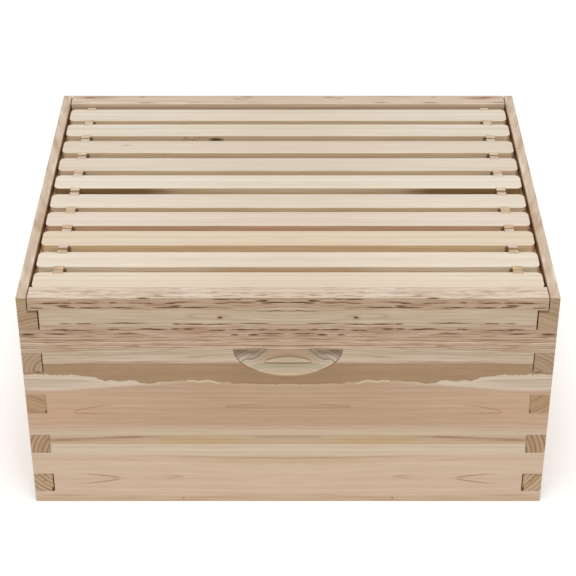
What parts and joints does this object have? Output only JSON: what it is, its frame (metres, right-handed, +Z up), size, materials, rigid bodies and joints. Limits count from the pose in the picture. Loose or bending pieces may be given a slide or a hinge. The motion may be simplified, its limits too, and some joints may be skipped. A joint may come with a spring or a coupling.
{
  "type": "langstroth hive box",
  "caption": "Rectangular wooden beehive box with finger-jointed corners, scooped handholds and removable hanging frames that lift straight out of end rabbets.",
  "frame": {"origin": "middle of the box's underside, which stands on the hive floor or the box below", "axes": "+X along the frames and the long boards, +Y to the back, +Z up; the front board faces -Y"},
  "size_m": [0.5048, 0.4128, 0.2445],
  "materials": {
    "long_board_wood": "bare planed pine, glued from staves, flecked tan heartwood with paler sapwood",
    "end_board_wood": "bare planed pine, glued from staves, pinkish tan",
    "top_bar_wood": "bare planed pine, pale cream with fine straight grain",
    "end_bar_wood": "bare planed pine, cream to light tan",
    "bottom_bar_wood": "bare planed pine, pale cream"
  },
  "bodies": {
    "box": {"front_board_bottom": "long_board_wood", "front_board_middle": "long_board_wood", "front_board_top": "long_board_wood", "back_board_bottom": "long_board_wood", "back_board_middle": "long_board_wood", "back_board_top": "long_board_wood", "left_board_bottom": "end_board_wood", "left_board_middle": "end_board_wood", "left_board_top": "end_board_wood", "right_board_bottom": "end_board_wood", "right_board_middle": "end_board_wood", "right_board_top": "end_board_wood"},
    "frame_01": {"frame_01_top_bar": "top_bar_wood", "frame_01_end_bar_left": "end_bar_wood", "frame_01_end_bar_right": "end_bar_wood", "frame_01_bottom_bar": "bottom_bar_wood"},
    "frame_02": {"frame_02_top_bar": "top_bar_wood", "frame_02_end_bar_left": "end_bar_wood", "frame_02_end_bar_right": "end_bar_wood", "frame_02_bottom_bar": "bottom_bar_wood"},
    "frame_03": {"frame_03_top_bar": "top_bar_wood", "frame_03_end_bar_left": "end_bar_wood", "frame_03_end_bar_right": "end_bar_wood", "frame_03_bottom_bar": "bottom_bar_wood"},
    "frame_04": {"frame_04_top_bar": "top_bar_wood", "frame_04_end_bar_left": "end_bar_wood", "frame_04_end_bar_right": "end_bar_wood", "frame_04_bottom_bar": "bottom_bar_wood"},
    "frame_05": {"frame_05_top_bar": "top_bar_wood", "frame_05_end_bar_left": "end_bar_wood", "frame_05_end_bar_right": "end_bar_wood", "frame_05_bottom_bar": "bottom_bar_wood"},
    "frame_06": {"frame_06_top_bar": "top_bar_wood", "frame_06_end_bar_left": "end_bar_wood", "frame_06_end_bar_right": "end_bar_wood", "frame_06_bottom_bar": "bottom_bar_wood"},
    "frame_07": {"frame_07_top_bar": "top_bar_wood", "frame_07_end_bar_left": "end_bar_wood", "frame_07_end_bar_right": "end_bar_wood", "frame_07_bottom_bar": "bottom_bar_wood"},
    "frame_08": {"frame_08_top_bar": "top_bar_wood", "frame_08_end_bar_left": "end_bar_wood", "frame_08_end_bar_right": "end_bar_wood", "frame_08_bottom_bar": "bottom_bar_wood"},
    "frame_09": {"frame_09_top_bar": "top_bar_wood", "frame_09_end_bar_left": "end_bar_wood", "frame_09_end_bar_right": "end_bar_wood", "frame_09_bottom_bar": "bottom_bar_wood"},
    "frame_10": {"frame_10_top_bar": "top_bar_wood", "frame_10_end_bar_left": "end_bar_wood", "frame_10_end_bar_right": "end_bar_wood", "frame_10_bottom_bar": "bottom_bar_wood"}
  },
  "joints": [
    {"name": "frame_01_lift", "type": "slide", "parent": "box", "child": "frame_01", "axis": [0, 0, 1], "range_m": [0, 0.25]},
    {"name": "frame_02_lift", "type": "slide", "parent": "box", "child": "frame_02", "axis": [0, 0, 1], "range_m": [0, 0.25]},
    {"name": "frame_03_lift", "type": "slide", "parent": "box", "child": "frame_03", "axis": [0, 0, 1], "range_m": [0, 0.25]},
    {"name": "frame_04_lift", "type": "slide", "parent": "box", "child": "frame_04", "axis": [0, 0, 1], "range_m": [0, 0.25]},
    {"name": "frame_05_lift", "type": "slide", "parent": "box", "child": "frame_05", "axis": [0, 0, 1], "range_m": [0, 0.25]},
    {"name": "frame_06_lift", "type": "slide", "parent": "box", "child": "frame_06", "axis": [0, 0, 1], "range_m": [0, 0.25]},
    {"name": "frame_07_lift", "type": "slide", "parent": "box", "child": "frame_07", "axis": [0, 0, 1], "range_m": [0, 0.25]},
    {"name": "frame_08_lift", "type": "slide", "parent": "box", "child": "frame_08", "axis": [0, 0, 1], "range_m": [0, 0.25]},
    {"name": "frame_09_lift", "type": "slide", "parent": "box", "child": "frame_09", "axis": [0, 0, 1], "range_m": [0, 0.25]},
    {"name": "frame_10_lift", "type": "slide", "parent": "box", "child": "frame_10", "axis": [0, 0, 1], "range_m": [0, 0.25]}
  ]
}
